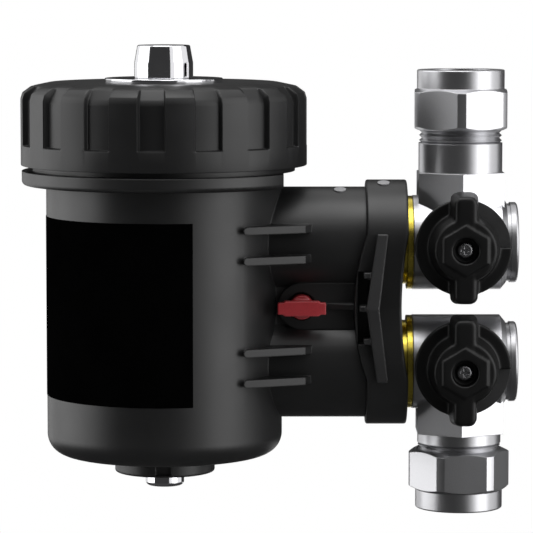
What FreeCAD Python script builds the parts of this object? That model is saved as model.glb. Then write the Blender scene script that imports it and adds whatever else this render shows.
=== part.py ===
import FreeCAD, Part
import math
import os
import re
import Sketcher

# Magnetic system filter for a heating circuit, in millimetres.
# The origin is the mouth of the lower compression nut, on the axis of the pipe that the two
# valves sit on. +Z is up that pipe. The canister stands at -X, and the valve handles face -Y.

SIZES = {
    # Where the main axes are
    "axis_offset": 106.8,        # pipe axis to canister axis
    "port_low": 53.2,            # mouth of the lower nut up to the lower port's axis
    "port_pitch": 43.3,          # lower port's axis to upper port's axis
    "upper_reach": 62.3,         # upper port's axis to the mouth of the upper nut
    # Canister
    "vessel_radius": 42.5,
    "vessel_wall": 3.5,
    "vessel_bottom": 21.1,       # height where the side and the shallow cone would meet
    "vessel_corner": 7.6,        # rounding between them
    "cone_radius": 19.8,
    "boss_radius": 18.1,
    "boss_bottom": 13.2,
    "boss_height": 4.3,
    "notch_sill": 0.8,
    "floor_thick": 3.5,
    "notch_width": 5.5,
    "notch_depth": 1.2,
    "collar_radius": 51.2,
    "collar_rise": 21.1,         # upper port's axis to the underside of the collar
    "collar_thick": 5.0,
    "collar_round": 1.6,
    "collar_flat": 43.0,
    "neck_radius": 47.2,
    "neck_height": 23.4,
    # Lid
    "lid_radius": 51.5,
    "lid_gap": 2.0,
    "lid_fit": 0.3,
    "lid_band": 7.4,
    "lid_side": 23.9,
    "lid_height": 29.7,
    "lid_roof": 4.8,
    "bevel_one": 0.7,
    "bevel_two": 3.7,
    "bevel_three": 10.1,
    "recess_depth": 2.0,
    "recess_angle": 10.4,
    "recess_count": 16,
    "lid_seal_section": 1.6,
    # Air vent on the lid
    "vent_flange_radius": 21.2,
    "vent_flange_thick": 1.5,
    "vent_shank_radius": 7.0,
    "vent_shank_length": 15.3,
    "vent_stub_radius": 6.0,
    "vent_stub_height": 7.2,
    "vent_bore": 1.5,
    "vent_nut_flats": 19.0,
    "vent_nut_height": 5.0,
    "knob_radius": 10.57,
    "knob_top_radius": 9.45,
    "knob_straight": 5.4,
    "knob_height": 11.7,
    "knob_slot_width": 1.1,
    "knob_slot_height": 4.7,
    # Magnet unit that hangs under the lid
    "hanger_radius": 15.0,
    "hanger_wall": 2.2,
    "hanger_height": 16.0,
    "hanger_plug": 5.0,
    "hanger_lip": 1.5,
    "hanger_hole": 3.0,
    "sheath_radius": 13.0,
    "sheath_wall": 1.5,
    "sheath_bottom": 27.0,
    "magnet_fit": 0.3,
    "rod_end_room": 3.9,         # from the stack's top to the hanger, for the rod's end and nut
    "magnet_count": 6,
    "pole_thick": 2.0,
    "rod_radius": 2.0,
    # Drain plug under the canister
    "plug_head_radius": 6.95,
    "plug_head_height": 4.6,
    "plug_shank_radius": 4.5,
    "plug_shank_length": 5.0,
    "plug_key_flats": 6.0,
    "plug_key_depth": 3.0,
    "plug_round": 1.4,
    "washer_gap": 0.05,
    "washer_thick": 0.5,
    # Label wrapped round the canister
    "label_bottom": 41.8,
    "label_height": 64.6,
    "label_thick": 0.15,
    "label_angle": 210.6,
    # Port tubes, web and ribs of the canister moulding
    "tube_radius": 20.1,
    "tube_root": 30.0,
    "waterway_root": 25.0,
    "socket_end": 52.5,          # pipe axis to the blind end of the spigot socket
    "waterway_radius": 10.0,
    "web_half_height": 8.3,
    "web_half_depth": 15.5,
    "web_plate_left": 68.0,
    "web_plate_length": 18.0,
    "web_plate_half_height": 8.7,
    "web_plate_half_depth": 13.5,
    "gusset_start": 50.3,
    "rib_thick": 2.7,
    "rib_pitch": 10.8,
    "rib_lift": 1.2,
    "rib_nose": 77.9,            # pipe axis to the rounded end of each rib
    "rib_turn": 56.0,
    "rib_end": 53.5,
    "rib_wide": 34.0,
    "rib_narrow": 24.4,
    "rib_tail": 18.0,
    "gusset_thick": 2.0,
    # Red bleed plug in the web
    "bleed_offset": 57.35,
    "bleed_counterbore": 5.0,
    "bleed_boss_radius": 4.3,
    "bleed_shank_radius": 3.4,
    "bleed_reach": 25.0,
    "bleed_bar_length": 17.2,
    "bleed_bar_height": 4.1,
    "bleed_bar_thick": 4.5,
    "bleed_grip_length": 12.6,
    "bleed_grip_height": 5.3,
    # Oval flange at the ends of the port tubes
    "flange_left": 34.2,
    "flange_right": 19.4,
    "flange_radius": 22.65,
    "flange_waist": 21.2,
    "flange_bow": 4.4,
    "flange_dish": 2.4,
    "flange_bow_half": 26.0,
    "flange_edge": 0.8,
    "window_left": 37.4,
    "window_right": 31.9,
    "window_half_height": 13.0,
    "window_depth": 7.0,
    # Retaining clip
    "clip_middle": 32.2,         # pipe axis to the middle of the clip's spine, at its waist
    "clip_lean": 3.6,            # how much nearer the pipe the ends of the spine stand than its middle
    "clip_half_height": 26.5,
    "clip_width": 4.6,
    "clip_end_width": 4.0,
    "clip_front": 28.4,
    "clip_end_front": 24.4,
    "clip_back": 23.0,
    "clip_tongue": 2.0,
    "clip_tongue_end": 9.0,
    "clip_grip": 1.1,            # how far the tongue reaches into each spigot's groove
    "clip_gap": 0.3,
    "tooth_front": 25.2,
    "tooth_reach": 4.7,          # middle of the spine to the middle tooth's tip
    "tooth_step": 1.5,           # how much shorter the outer teeth are
    "tooth_gap": 0.4,
    "tooth_depth": 6.0,
    "tooth_height": 2.1,
    "tooth_pitch": 11.8,
    # Marker pips
    "pip_radius": 2.2,
    "pip_height": 1.6,
    "pip_proud": 0.3,
    "pip_lean": 16.0,            # degrees that the pips stand in front of the top
    "pip_tube_offset": 43.5,
    "pip_flange_offset": 27.9,
    # Spigots
    "spigot_radius": 15.0,
    "spigot_fit": 0.3,
    "spigot_left": 50.0,
    "spigot_ring_radius": 16.8,
    "spigot_bore": 9.0,
    "spigot_shank": 5.8,
    "seal_section": 1.0,
    "seal_pitch": 6.0,
    "seal_inset": 4.0,
    # Angle ball valves
    "barrel_radius": 17.0,
    "barrel_left": 17.4,
    "barrel_right": 16.4,
    "barrel_cone": 2.0,
    "barrel_cone_drop": 2.4,
    "ball_radius": 12.0,
    "ball_bore": 8.0,
    "cavity_radius": 12.5,
    "thread_fit": 0.05,
    "seat_gap": 0.1,
    "seat_thick": 2.8,
    "end_plug_radius": 14.5,
    "end_plug_head": 4.0,
    "end_plug_neck": 1.35,
    "neck_drop": 0.5,
    "end_plug_round": 1.0,
    "neck_flats": 30.7,
    "neck_hex_length": 25.5,
    "neck_round_radius": 15.1,
    "upper_thread_gap": 4.7,
    "lower_thread_gap": 2.3,
    "thread_crest": 14.9,
    "thread_root": 13.9,
    "thread_pitch": 1.8,
    "thread_turns": 7,
    "pipe_radius": 11.1,
    "pipe_depth": 16.0,
    "stem_boss_radius": 9.5,
    "stem_boss_front": 19.2,
    # Compression nuts and olives
    "nut_flats": 33.0,
    "nut_corner_radius": 18.2,
    "nut_chamfer": 1.3,
    "nut_collar_radius": 15.75,
    "nut_collar_length": 6.7,
    "nut_length": 21.6,
    "nut_bore": 15.0,
    "leg_inset": 11.6,           # nut's mouth to the end of the valve's threaded leg
    "olive_radius": 12.9,
    "olive_lip": 0.05,
    "olive_length": 5.4,
    "olive_in_leg": 1.5,
    "seat_depth": 1.6,
    # Handles, stems and their screws
    "stem_radius": 4.0,
    "stem_fit": 0.06,
    "stem_end": 31.0,
    "stem_square": 5.6,
    "packing_radius": 5.6,
    "packing_length": 2.4,
    "plate_radius": 16.9,
    "plate_thick": 2.0,
    "disc_radius": 17.15,
    "disc_back": 21.6,
    "disc_thick": 2.6,
    "hub_radius": 12.6,
    "hub_top_radius": 11.0,
    "hub_front": 36.1,
    "hub_round": 1.2,
    "lever_width": 10.0,
    "lever_draft": 5.4,          # degrees that each side of a lever arm leans in
    "lever_length": 39.8,
    "lever_back": 24.4,
    "lever_front": 36.2,
    "lever_corner": 2.6,
    "lever_edge": 1.6,
    "sketch_offset": 10.0,
    "hex_flats": 15.4,
    "hex_front": 36.9,
    "recess_radius": 4.6,
    "recess_floor": 32.4,
    "screw_head_radius": 2.8,
    "screw_head_height": 1.9,
    "screw_radius": 1.9,
    "screw_length": 8.0,
}

DIRECTIONS = {
    "+X": FreeCAD.Rotation(FreeCAD.Vector(0, 1, 0), 90),
    "+Y": FreeCAD.Rotation(FreeCAD.Vector(1, 0, 0), -90),
    "-Y": FreeCAD.Rotation(FreeCAD.Vector(1, 0, 0), 90),
    "+Z": FreeCAD.Rotation(),
    "-Z": FreeCAD.Rotation(FreeCAD.Vector(1, 0, 0), 180),
    "pip": FreeCAD.Rotation(FreeCAD.Vector(1, 0, 0), SIZES["pip_lean"]),
}

doc = FreeCAD.newDocument("system_filter")
sheet = doc.addObject("Spreadsheet::Sheet", "sizes")
for row, (alias, value) in enumerate(SIZES.items(), start=1):
    sheet.set("A%d" % row, alias)
    sheet.set("B%d" % row, str(value))
    sheet.setAlias("B%d" % row, alias)
doc.recompute()

nodes = []


# ---------------------------------------------------------------- tools for making pieces

def linked(text):
    """Expression text with every size name pointed at the sheet."""
    def point_at_sheet(word):
        name = word.group()
        return "sizes." + name if name in SIZES else name
    return re.sub(r"[a-z]\w*", point_at_sheet, text)


def place(piece, at, direction="+Z", spin=0):
    """Put a piece at a point given by size expressions, its own Z along direction."""
    turn = DIRECTIONS[direction].multiply(FreeCAD.Rotation(FreeCAD.Vector(0, 0, 1), spin))
    piece.Placement = FreeCAD.Placement(FreeCAD.Vector(), turn)
    for letter, text in zip("xyz", at):
        piece.setExpression("Placement.Base." + letter, linked(text))
    return piece


def primitive(kind, name, at, direction="+Z", spin=0, **sizes):
    """A Part primitive with its sizes and its place bound to the sheet."""
    piece = doc.addObject("Part::" + kind, name)
    for size, text in sizes.items():
        piece.setExpression(size, linked(text))
    return place(piece, at, direction, spin)


def rod(name, radius, length, at, direction="+Z", spin=0, **more):
    return primitive("Cylinder", name, at, direction, spin, Radius=radius, Height=length, **more)


def block(name, length, width, height, at, direction="+Z", spin=0):
    return primitive("Box", name, at, direction, spin, Length=length, Width=width, Height=height)


def ring_seal(name, radius, section, at, direction="+Z"):
    return primitive("Torus", name, at, direction, Radius1=radius, Radius2=section)


def hexagon(name, flats, length, at, direction="+Z", spin=0):
    """A hexagonal bar with one corner on its own X axis."""
    bar = primitive("Prism", name, at, direction, spin, Height=length)
    bar.Polygon = 6
    bar.setExpression("Circumradius", linked("(%s) / sqrt(3)" % flats))
    return bar


def fuse(name, pieces):
    whole = doc.addObject("Part::MultiFuse", name)
    whole.Shapes = pieces
    whole.Refine = True
    return whole


def common(name, first, second):
    shared = doc.addObject("Part::Common", name)
    shared.Base = first
    shared.Tool = second
    return shared


def cut(name, base, tools):
    """The base with every tool taken out of it."""
    result = doc.addObject("Part::Cut", name)
    result.Base = base
    result.Tool = tools[0] if len(tools) == 1 else fuse(name + "_cutters", tools)
    return result


def group(name, pieces):
    """Several separate solids that share one node."""
    together = doc.addObject("Part::Compound", name)
    together.Links = pieces
    return together


def outline(body, plane, corners, name):
    """A closed sketch of straight lines, each corner held by two size expressions."""
    sketch = body.newObject("Sketcher::SketchObject", name)
    origin_planes = body.Origin.OriginFeatures
    sketch.AttachmentSupport = [(next(p for p in origin_planes if p.Role == plane), "")]
    sketch.MapMode = "FlatFace"
    count = len(corners)
    around = [
        FreeCAD.Vector(30 + 20 * math.cos(2 * math.pi * k / count), 30 + 20 * math.sin(2 * math.pi * k / count), 0)
        for k in range(count)
    ]
    for k in range(count):
        sketch.addGeometry(Part.LineSegment(around[k], around[(k + 1) % count]), False)
    for k in range(count):
        sketch.addConstraint(Sketcher.Constraint("Coincident", k, 2, (k + 1) % count, 1))
    for k, corner in enumerate(corners):
        for kind, axis, text in (("DistanceX", -2, corner[0]), ("DistanceY", -1, corner[1])):
            if text == "0":
                sketch.addConstraint(Sketcher.Constraint("PointOnObject", k, 1, axis))
                continue
            index = sketch.addConstraint(Sketcher.Constraint(kind, -1, 1, k, 1, 30.0))
            sketch.renameConstraint(index, "%s%d" % (kind, k))
            sketch.setExpression("Constraints.%s%d" % (kind, k), linked(text))
    return sketch


def edges_at(shape, points):
    """Names of the circular edges that run through points given as (radius, height)."""
    found = []
    for number, edge in enumerate(shape.Edges, start=1):
        curve = edge.Curve
        if not hasattr(curve, "Radius"):
            continue
        if any(abs(curve.Radius - r) < 1e-4 and abs(curve.Center.z - z) < 1e-4 for r, z in points):
            found.append("Edge%d" % number)
    return found


def turned(name, profile, at, direction="+Z", spin=0, rounds=()):
    """A turned piece: profile gives (radius, distance along the axis) corners in order."""
    body = doc.addObject("PartDesign::Body", name)
    sketch = outline(body, "XZ_Plane", profile, name + "_profile")
    turning = body.newObject("PartDesign::Revolution", name + "_turning")
    turning.Profile = sketch
    turning.ReferenceAxis = (sketch, ["V_Axis"])
    turning.Angle = 360
    for corner_numbers, radius in rounds:
        doc.recompute()
        ends = [sketch.Geometry[k].StartPoint for k in corner_numbers]
        base = body.Tip
        rounding = body.newObject("PartDesign::Fillet", name + "_rounding")
        rounding.Base = (base, edges_at(base.Shape, [(end.x, end.y) for end in ends]))
        rounding.setExpression("Radius", linked(radius))
    place(body, at, direction, spin)
    return body


def keep(piece, name):
    """Make a piece one of the filter's own nodes."""
    piece.Label = name
    nodes.append(piece)
    return piece


CANISTER_X = "-axis_offset"
PORT_HIGH = "(port_low + port_pitch)"
PORT_MIDDLE = "(port_low + port_pitch / 2)"
SOCKET_RADIUS = "(spigot_radius + spigot_fit)"
COLLAR_BOTTOM = "(port_low + port_pitch + collar_rise)"
NECK_TOP = "(port_low + port_pitch + collar_rise + collar_thick + neck_height)"
LID_BOTTOM = "(%s + collar_thick + lid_gap)" % COLLAR_BOTTOM
LID_TOP = "(%s + collar_thick + lid_gap + lid_height)" % COLLAR_BOTTOM


# ---------------------------------------------------------------- oval flange

def flange_outline(name):
    """The oval flange with no holes: two rounds and a slightly waisted middle, bowed along X."""
    left = "-(flange_left + flange_bow)"
    length = "flange_left + flange_bow - flange_right"
    rounds = [
        rod(name + "_round_" + side, "flange_radius", length, (left, "0", port), "+X")
        for side, port in (("low", "port_low"), ("high", PORT_HIGH))
    ]
    halves = []
    for side, direction in (("high", "-Y"), ("low", "+Y")):
        halves.append(primitive(
            "Wedge", name + "_half_" + side, (left, "0", PORT_MIDDLE), direction,
            Xmin="0", X2min="0", Xmax=length, X2max=length, Ymin="0", Ymax="port_pitch / 2",
            Zmin="-flange_waist", Zmax="flange_waist", Z2min="-flange_radius", Z2max="flange_radius"))
    oval = fuse(name + "_oval", rounds + halves)
    # The side towards the canister is straight at the ports and bows out between them.
    depth = "2 * flange_radius + 2"
    start = "flange_radius + 1"
    straight = block(
        name + "_straight", "flange_left - flange_right", depth, "port_pitch + 2 * flange_radius + 2",
        ("-flange_left", "-(flange_radius + 1)", "port_low - flange_radius - 1"))
    bow_radius = "(flange_bow_half ^ 2 + flange_bow ^ 2) / (2 * flange_bow)"
    bow = rod(
        name + "_bow", bow_radius, depth,
        ("%s - flange_left - flange_bow" % bow_radius, start, PORT_MIDDLE), "-Y")
    bow_limit = block(
        name + "_bow_limit", "flange_bow + 1", depth, "2 * flange_bow_half",
        ("-(flange_left + flange_bow)", "-(flange_radius + 1)", "%s - flange_bow_half" % PORT_MIDDLE))
    side = fuse(name + "_side", [straight, common(name + "_bulge", bow, bow_limit)])
    # The side towards the valves is dished a little between the ports.
    dish_radius = "(flange_bow_half ^ 2 + flange_dish ^ 2) / (2 * flange_dish)"
    dish = rod(
        name + "_dish", dish_radius, depth,
        ("%s - flange_right - flange_dish" % dish_radius, start, PORT_MIDDLE), "-Y")
    return cut(name, common(name + "_both", oval, side), [dish])


def pip(name, offset, radius):
    """A pip sunk into a round surface about the upper port's axis, a little in front of its top."""
    depth = "(%s - pip_height + pip_proud)" % radius
    return rod(name, "pip_radius", "pip_height", (
        "-" + offset, "-%s * sin(pip_lean)" % depth, "%s + %s * cos(pip_lean)" % (PORT_HIGH, depth)), "pip")


def make_port_flange():
    bores = [
        rod("flange_bore_" + side, SOCKET_RADIUS, "flange_left + 10", ("-(flange_left + 8)", "0", port), "+X")
        for side, port in (("low", "port_low"), ("high", PORT_HIGH))
    ]
    slot = block(
        "flange_slot", "clip_tongue + 2 * clip_gap", "flange_radius + clip_tongue_end + 2",
        "port_pitch - 2 * (spigot_radius - clip_grip) + 2 * clip_gap",
        ("-(clip_middle + clip_tongue / 2 + clip_gap)", "-(flange_radius + 1)",
         "port_low + spigot_radius - clip_grip - clip_gap"))
    window = block(
        "flange_window", "window_left - window_right", "window_depth + 1", "2 * window_half_height",
        ("-window_left", "-(flange_waist + 1)", "%s - window_half_height" % PORT_MIDDLE))
    pip_seat = pip("flange_pip_seat", "pip_flange_offset", "flange_radius")
    blank = flange_outline("flange_blank")
    doc.recompute()
    rounded = doc.addObject("Part::Fillet", "flange_rounded")
    rounded.Base = blank
    rounded.Edges = [
        (number, SIZES["flange_edge"], SIZES["flange_edge"])
        for number, edge in enumerate(blank.Shape.Edges, start=1)
        if abs(edge.tangentAt(edge.FirstParameter).x) < 0.99
    ]
    keep(cut("port_flange", rounded, bores + [slot, window, pip_seat]), "port_flange")


# ---------------------------------------------------------------- canister moulding

def rib_stretch(name, start, end, low, wide, narrow):
    """A stretch of rib between two distances left of the pipe axis, as deep in front as behind."""
    return primitive(
        "Wedge", name, ("-(%s)" % start, "0", low), "+Z", -90,
        Xmin="-" + wide, Xmax=wide, X2min="-" + narrow, X2max=narrow,
        Ymin="0", Ymax="%s - (%s)" % (start, end), Zmin="0", Z2min="0", Zmax="rib_thick", Z2max="rib_thick")


def make_canister():
    neck_bore = "(vessel_radius - vessel_wall)"
    collar = "%s - boss_bottom" % COLLAR_BOTTOM
    neck_end = "%s - boss_bottom" % NECK_TOP
    outside = turned("vessel_outside", [
        ("0", "0"),
        ("boss_radius", "0"),
        ("boss_radius", "boss_height"),
        ("cone_radius", "boss_height"),
        ("vessel_radius", "vessel_bottom - boss_bottom"),
        ("vessel_radius", collar),
        ("collar_radius", collar),
        ("collar_radius", collar + " + collar_thick"),
        ("neck_radius", collar + " + collar_thick"),
        ("neck_radius", neck_end),
        ("0", neck_end),
    ], (CANISTER_X, "0", "boss_bottom"),
        rounds=[((4,), "vessel_corner"), ((6,), "collar_round"), ((1,), "collar_round / 2")])
    inside = turned("vessel_inside", [
        ("0", "0"),
        ("plug_shank_radius + thread_fit", "0"),
        ("plug_shank_radius + thread_fit", "plug_shank_length - 0.6"),
        ("cone_radius", "boss_height + floor_thick"),
        (neck_bore, "vessel_bottom + vessel_wall - boss_bottom + 0.4"),
        (neck_bore, neck_end + " + 1"),
        ("0", neck_end + " + 1"),
    ], (CANISTER_X, "0", "boss_bottom"), rounds=[((4,), "vessel_corner - vessel_wall")])
    collar_side = block(
        "collar_side", "collar_radius", "2 * collar_radius", "collar_thick",
        ("collar_flat - axis_offset", "-collar_radius", COLLAR_BOTTOM))
    vessel = cut("vessel_shape", outside, [collar_side])

    solids = [vessel]
    holes = [inside]
    for side, port in (("low", "port_low"), ("high", PORT_HIGH)):
        solids.append(rod(
            "tube_" + side, "tube_radius", "axis_offset - tube_root - flange_left",
            ("tube_root - axis_offset", "0", port), "+X"))
        holes.append(rod(
            "socket_" + side, SOCKET_RADIUS, "socket_end", ("-socket_end", "0", port), "+X"))
        holes.append(rod(
            "waterway_" + side, "waterway_radius", "axis_offset - waterway_root - socket_end",
            ("waterway_root - axis_offset", "0", port), "+X"))
        # Two thin ribs with rounded noses fill the corner between each tube and the canister.
        for number in (0, 1):
            name = "rib_%s_%d" % (side, number)
            middle = "%s + rib_lift + rib_pitch * %s" % (port, number - 0.5)
            low = middle + " - rib_thick / 2"
            nose = rod(name + "_nose", "rib_thick / 2", "2 * rib_wide",
                       ("rib_thick / 2 - rib_nose", "rib_wide", middle), "-Y")
            slab = block(name + "_slab", "rib_nose - rib_thick / 2 - rib_turn", "2 * rib_wide", "rib_thick",
                         ("rib_thick / 2 - rib_nose", "-rib_wide", low))
            slant = rib_stretch(name + "_slant", "rib_nose", "rib_turn", low, "rib_wide", "rib_narrow")
            solids.append(common(name + "_bar", fuse(name + "_blank", [nose, slab]), slant))
            solids.append(rib_stretch(name + "_tail", "rib_turn", "rib_end", low, "rib_narrow", "rib_tail"))

    web_bottom = "%s - web_half_height" % PORT_MIDDLE
    solids.append(block(
        "web_block", "bleed_offset - flange_left", "2 * web_half_depth", "2 * web_half_height",
        ("-bleed_offset", "-web_half_depth", web_bottom)))
    solids.append(rod(
        "web_end", "web_half_height", "2 * web_half_depth", ("-bleed_offset", "web_half_depth", PORT_MIDDLE), "-Y"))
    solids.append(block(
        "web_plate", "web_plate_length", "2 * web_plate_half_depth", "2 * web_plate_half_height",
        ("-web_plate_left", "-web_plate_half_depth", "%s - web_plate_half_height" % PORT_MIDDLE)))
    # A gusset rises from the web's front to the flange, at mid height.
    solids.append(primitive(
        "Wedge", "web_gusset", ("-gusset_start", "0", "%s - gusset_thick / 2" % PORT_MIDDLE), "+Z", -90,
        Xmin="0", Xmax="web_half_depth", X2min="0", X2max="flange_waist - 1",
        Ymin="0", Ymax="gusset_start - flange_left", Zmin="0", Z2min="0",
        Zmax="gusset_thick", Z2max="gusset_thick"))

    holes.append(rod(
        "bleed_mouth", "bleed_counterbore", "4", ("-bleed_offset", "4 - web_half_depth", PORT_MIDDLE), "-Y"))
    holes.append(rod(
        "bleed_hole", "bleed_shank_radius + stem_fit", "web_half_depth - 1",
        ("-bleed_offset", "-1", PORT_MIDDLE), "-Y"))
    holes.append(rod("bleed_passage", "vent_bore", "port_pitch / 2", ("-bleed_offset", "-2.6", PORT_MIDDLE)))
    holes.append(block(
        "boss_notch", "notch_width", "notch_depth + 1", "boss_height - notch_sill",
        ("-(axis_offset + notch_width / 2)", "-(boss_radius + 1)", "boss_bottom + notch_sill")))
    holes.append(pip("tube_pip_seat", "pip_tube_offset", "tube_radius"))
    holes.append(flange_outline("flange_space"))
    keep(cut("canister_body", fuse("canister_solid", solids), holes), "canister_body")


def make_label():
    start = (360 - SIZES["label_angle"]) / 2
    sheet_piece = rod(
        "label_outside", "vessel_radius + label_thick", "label_height", (CANISTER_X, "0", "label_bottom"),
        spin=start, Angle="label_angle")
    inside = rod("label_inside", "vessel_radius", "label_height", (CANISTER_X, "0", "label_bottom"))
    keep(cut("label", sheet_piece, [inside]), "label")


def make_marker_pips():
    pips = [
        pip("tube_pip", "pip_tube_offset", "tube_radius"),
        pip("flange_pip", "pip_flange_offset", "flange_radius"),
    ]
    keep(group("marker_pips", pips), "marker_pips")


# ---------------------------------------------------------------- lid, air vent, magnet unit

def make_lid():
    bore = "(neck_radius + lid_fit)"
    lid = turned("lid", [
        ("vent_shank_radius + thread_fit", "lid_height - lid_roof"),
        (bore, "lid_height - lid_roof"),
        (bore, "0"),
        ("lid_radius", "0"),
        ("lid_radius", "lid_side"),
        ("lid_radius - bevel_one", "lid_side + 2.2"),
        ("lid_radius - bevel_two", "lid_side + 4.4"),
        ("lid_radius - bevel_three", "lid_height"),
        ("vent_shank_radius + thread_fit", "lid_height"),
    ], (CANISTER_X, "0", LID_BOTTOM), spin=-93, rounds=[((3,), "lid_fit")])
    finger_recess = outline(lid, "XZ_Plane", [
        ("lid_radius - recess_depth", "lid_band"),
        ("lid_radius - recess_depth", "lid_side - 0.8"),
        ("lid_radius - recess_depth - bevel_one", "lid_side + 1.2"),
        ("lid_radius - recess_depth - bevel_two", "lid_side + 5.2"),
        ("lid_radius + 5", "lid_side + 5.2"),
        ("lid_radius + 5", "lid_band"),
    ], "lid_recess_profile")
    recess = lid.newObject("PartDesign::Groove", "lid_recess")
    recess.Profile = finger_recess
    recess.ReferenceAxis = (finger_recess, ["V_Axis"])
    recess.setExpression("Angle", linked("recess_angle"))
    recess.Midplane = True
    ring = lid.newObject("PartDesign::PolarPattern", "lid_recess_ring")
    ring.Originals = [recess]
    ring.Axis = (finger_recess, ["V_Axis"])
    ring.Angle = 360
    ring.setExpression("Occurrences", linked("recess_count"))
    lid.Tip = ring
    keep(lid, "lid")

    seat = "%s - lid_roof - lid_seal_section" % LID_TOP
    keep(ring_seal(
        "lid_oring", "neck_radius - 2", "lid_seal_section", (CANISTER_X, "0", seat)), "lid_oring")


def make_air_vent():
    keep(turned("vent_body", [
        ("vent_bore", "0"),
        ("vent_shank_radius", "0"),
        ("vent_shank_radius", "vent_shank_length"),
        ("vent_flange_radius", "vent_shank_length"),
        ("vent_flange_radius", "vent_shank_length + vent_flange_thick"),
        ("vent_stub_radius", "vent_shank_length + vent_flange_thick"),
        ("vent_stub_radius", "vent_shank_length + vent_flange_thick + vent_stub_height"),
        ("vent_bore", "vent_shank_length + vent_flange_thick + vent_stub_height"),
    ], (CANISTER_X, "0", "%s - vent_shank_length" % LID_TOP), rounds=[((4,), "0.3")]), "vent_body")

    nut_bottom = "%s - vent_shank_length + 2.2" % LID_TOP
    nut = hexagon("vent_nut_bar", "vent_nut_flats", "vent_nut_height", (CANISTER_X, "0", nut_bottom))
    nut_hole = rod(
        "vent_nut_hole", "vent_shank_radius + thread_fit", "vent_nut_height", (CANISTER_X, "0", nut_bottom))
    keep(cut("vent_nut", nut, [nut_hole]), "vent_nut")

    knob_bottom = "%s + vent_flange_thick + 0.1" % LID_TOP
    knob_blank = turned("knob_blank", [
        ("vent_stub_radius + thread_fit", "0"),
        ("knob_radius", "0"),
        ("knob_radius", "knob_straight"),
        ("knob_top_radius", "knob_height"),
        ("0", "knob_height"),
        ("0", "vent_stub_height + 1"),
        ("vent_stub_radius + thread_fit", "vent_stub_height + 1"),
    ], (CANISTER_X, "0", knob_bottom), rounds=[((3,), "0.6")])
    # The outlet is an upright slot through the knob's side, 47 degrees round from the front.
    outlet = block(
        "knob_outlet", "knob_radius", "knob_slot_width", "knob_slot_height",
        (CANISTER_X, "0", "%s + 0.7" % knob_bottom), spin=-43)
    keep(cut("vent_knob", knob_blank, [outlet]), "vent_knob")
    keep(rod(
        "vent_seal", "vent_stub_radius - 2", "0.8",
        (CANISTER_X, "0", "%s + vent_flange_thick + vent_stub_height" % LID_TOP)), "vent_seal")


def make_magnet_unit():
    # The hanger hooks over the nut under the lid, so the magnets rise with the lid and need not turn.
    hanger_top = "(%s - lid_roof - 2 * lid_fit)" % LID_TOP
    plug_length = "hanger_plug"
    hanger_blank = turned("hanger_blank", [
        ("0", "0"),
        ("sheath_radius - sheath_wall - thread_fit", "0"),
        ("sheath_radius - sheath_wall - thread_fit", plug_length),
        ("hanger_radius", plug_length),
        ("hanger_radius", "hanger_plug + hanger_height"),
        ("vent_shank_radius + lid_fit", "hanger_plug + hanger_height"),
        ("vent_shank_radius + lid_fit", "hanger_plug + hanger_height - hanger_lip"),
        ("hanger_radius - hanger_wall", "hanger_plug + hanger_height - hanger_lip"),
        ("hanger_radius - hanger_wall", "hanger_plug + hanger_wall"),
        ("0", "hanger_plug + hanger_wall"),
    ], (CANISTER_X, "0", "%s - hanger_height - hanger_plug" % hanger_top))
    windows = [
        rod("hanger_window_" + name, "hanger_hole", "2 * hanger_radius",
            (x, y, "%s - hanger_height / 2" % hanger_top), direction)
        for name, x, y, direction in (
            ("across", "-(axis_offset + hanger_radius)", "0", "+X"),
            ("through", "-axis_offset", "hanger_radius", "-Y"))
    ]
    keep(cut("magnet_hanger", hanger_blank, windows), "magnet_hanger")

    sheath_length = "%s - hanger_height - sheath_bottom" % hanger_top
    keep(turned("magnet_sheath", [
        ("0", "0"),
        ("sheath_radius", "0"),
        ("sheath_radius", sheath_length),
        ("sheath_radius - sheath_wall", sheath_length),
        ("sheath_radius - sheath_wall", "2"),
        ("0", "2"),
    ], (CANISTER_X, "0", "sheath_bottom"), rounds=[((1,), "sheath_wall")]), "magnet_sheath")

    count = int(SIZES["magnet_count"])
    stack = "(sheath_bottom + 2)"
    stack_top = "(%s - hanger_height - %s - rod_end_room)" % (hanger_top, plug_length)
    step = "((%s - %s - pole_thick) / magnet_count)" % (stack_top, stack)
    magnet_length = step + " - pole_thick"
    magnet_radius = "sheath_radius - sheath_wall - magnet_fit"
    magnets = []
    poles = []
    for k in range(count):
        bottom = "%s + pole_thick + %d * %s" % (stack, k, step)
        magnets.append(cut("magnet_%d" % k, rod(
            "magnet_blank_%d" % k, magnet_radius, magnet_length, (CANISTER_X, "0", bottom)), [rod(
                "magnet_hole_%d" % k, "rod_radius + thread_fit", magnet_length, (CANISTER_X, "0", bottom))]))
    for k in range(count + 1):
        bottom = "%s + %d * %s" % (stack, k, step)
        poles.append(cut("pole_%d" % k, rod(
            "pole_blank_%d" % k, magnet_radius, "pole_thick", (CANISTER_X, "0", bottom)), [rod(
                "pole_hole_%d" % k, "rod_radius + thread_fit", "pole_thick", (CANISTER_X, "0", bottom))]))
    keep(group("magnets", magnets), "magnets")
    keep(group("pole_pieces", poles), "pole_pieces")
    keep(rod(
        "magnet_rod", "rod_radius", "%s + rod_end_room - 0.7 - %s" % (stack_top, stack),
        (CANISTER_X, "0", stack)), "magnet_rod")
    keep(cut("magnet_rod_nut", hexagon(
        "rod_nut_bar", "7", "2.8", (CANISTER_X, "0", stack_top)), [rod(
            "rod_nut_hole", "rod_radius + thread_fit", "2.8", (CANISTER_X, "0", stack_top))]), "magnet_rod_nut")


# ---------------------------------------------------------------- plugs of the canister

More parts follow.
